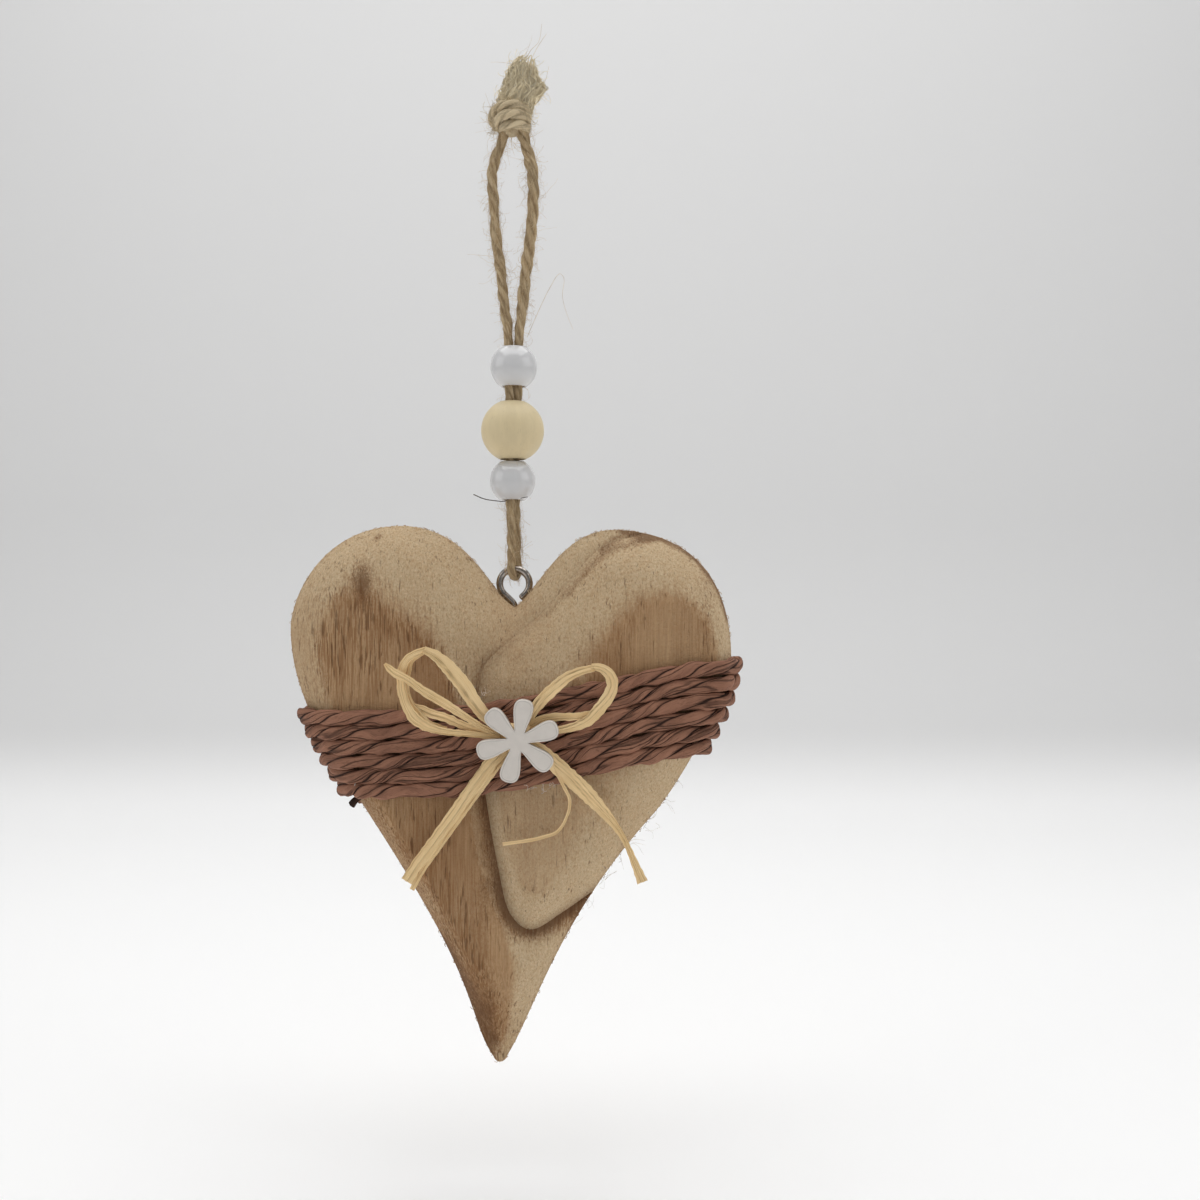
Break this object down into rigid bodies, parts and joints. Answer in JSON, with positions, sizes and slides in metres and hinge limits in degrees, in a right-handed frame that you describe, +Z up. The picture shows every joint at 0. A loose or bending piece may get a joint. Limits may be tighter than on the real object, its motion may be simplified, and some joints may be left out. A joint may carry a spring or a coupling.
{
  "type": "hanging wooden heart ornament",
  "caption": "Carved wooden heart on a twine loop with beads, wound with paper cord and dressed with a raffia bow and a small flower.",
  "frame": {"origin": "underside of the knot that closes the twine loop, where the loop bears on what it hangs from", "axes": "+Z up along the hanging twine, the carved front faces -Y, +X to the right seen from the front"},
  "size_m": [0.1145, 0.0335, 0.2562],
  "materials": {
    "carved_wood": "raw carved wood, scorched along creases and edges",
    "steel_wire": "bright plated wire",
    "paper_cord": "brown twisted paper, matt",
    "raffia": "natural raffia, satin",
    "flower_paint": "thin white paint, satin",
    "white_bead": "white gloss lacquer",
    "pale_wood_bead": "pale plain wood, satin",
    "jute": "hairy twisted jute, matt"
  },
  "bodies": {
    "root": {"heart": "carved_wood", "screw_eye": "steel_wire", "paper_cord": "paper_cord", "raffia_bow": "raffia", "flower": "flower_paint", "bead_top_white": "white_bead", "bead_middle_wood": "pale_wood_bead", "bead_bottom_white": "white_bead", "jute_twine": "jute", "twine_knot": "jute"}
  },
  "joints": []
}
